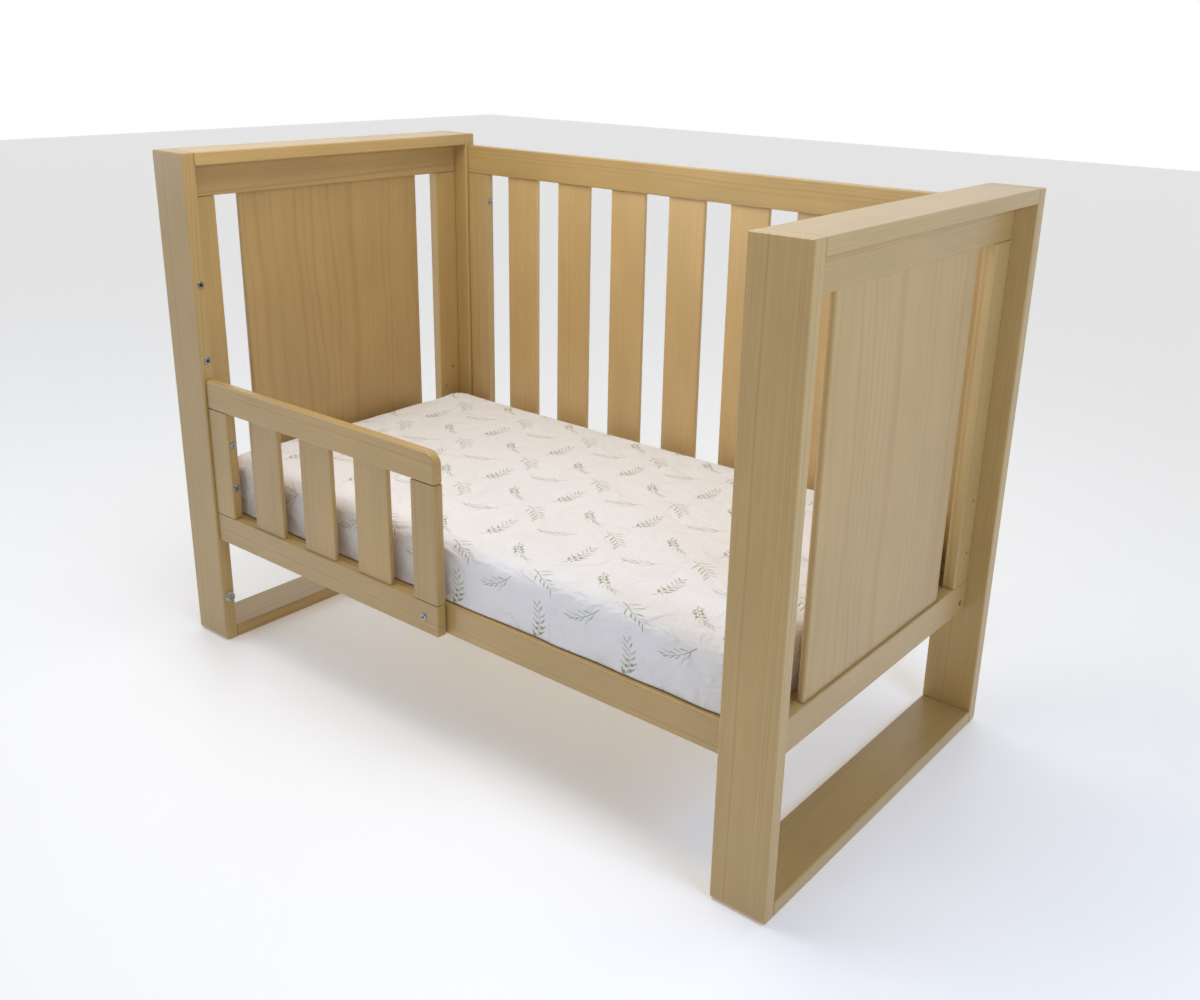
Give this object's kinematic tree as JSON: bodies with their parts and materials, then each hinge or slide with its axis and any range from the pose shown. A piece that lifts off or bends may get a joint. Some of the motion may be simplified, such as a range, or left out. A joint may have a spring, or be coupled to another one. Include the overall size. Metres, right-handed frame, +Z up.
{
  "type": "cot",
  "caption": "Pine cot with looped sled ends and solid end panels, a slatted back, a short slatted toddler guard, and a mattress on a height-adjustable slatted base.",
  "frame": {"origin": "on the floor, under the middle of the cot's outer box", "axes": "+X along the length, towards the end without the guard; -Y is the front, where the guard is; +Z up"},
  "size_m": [1.435, 0.756, 1.008],
  "materials": {
    "pine": "satin clear lacquer on solid pine",
    "pine_panel": "satin clear lacquer on a pine-faced board",
    "pine_base": "planed pine, unlacquered",
    "cotton_sheet": "plain-woven cotton, printed with small leafy sprigs",
    "mattress_ticking": "matt woven ticking",
    "zinc_steel": "bright zinc plate",
    "clear_plastic": "clear moulded plastic"
  },
  "bodies": {
    "frame": {"back_bottom_rail": "pine", "back_left_stile": "pine", "back_right_stile": "pine", "back_slat_1": "pine", "back_slat_2": "pine", "back_slat_3": "pine", "back_slat_4": "pine", "back_slat_5": "pine", "back_slat_6": "pine", "back_slat_7": "pine", "back_top_rail": "pine", "guard_bottom_rail": "pine", "guard_left_stile": "pine", "guard_lower_bolt": "zinc_steel", "guard_rail_bolt": "zinc_steel", "guard_right_stile": "pine", "guard_slat_1": "pine", "guard_slat_2": "pine", "guard_slat_3": "pine", "guard_top_rail": "pine", "guard_upper_bolt": "zinc_steel", "left_end_bottom_rail": "pine", "left_end_front_stile": "pine", "left_end_panel": "pine_panel", "left_end_rear_stile": "pine", "left_end_top_rail": "pine", "left_foot_board": "pine", "left_front_base_bolt": "zinc_steel", "left_front_post": "pine", "left_rear_base_bolt": "zinc_steel", "left_rear_post": "pine", "left_top_board": "pine", "lower_side_insert": "zinc_steel", "post_bumper": "clear_plastic", "right_end_bottom_rail": "pine", "right_end_front_stile": "pine", "right_end_panel": "pine_panel", "right_end_rear_stile": "pine", "right_end_top_rail": "pine", "right_foot_board": "pine", "right_front_base_bolt": "zinc_steel", "right_front_post": "pine", "right_rear_base_bolt": "zinc_steel", "right_rear_post": "pine", "right_top_board": "pine", "upper_side_insert": "zinc_steel"},
    "mattress_base": {"base_front_rail": "pine", "base_left_rail": "pine_base", "base_rear_rail": "pine", "base_right_rail": "pine_base", "base_slat_1": "pine_base", "base_slat_2": "pine_base", "base_slat_3": "pine_base", "base_slat_4": "pine_base", "base_slat_5": "pine_base", "base_slat_6": "pine_base", "base_slat_7": "pine_base"},
    "mattress": {"mattress": "mattress_ticking", "fitted_sheet": "cotton_sheet"}
  },
  "joints": [
    {"name": "base_height", "type": "slide", "parent": "frame", "child": "mattress_base", "axis": [0, 0, 1], "range_m": [0, 0.203]},
    {"name": "mattress_lift", "type": "slide", "parent": "mattress_base", "child": "mattress", "axis": [0, 0, 1], "range_m": [0, 0.35]}
  ]
}
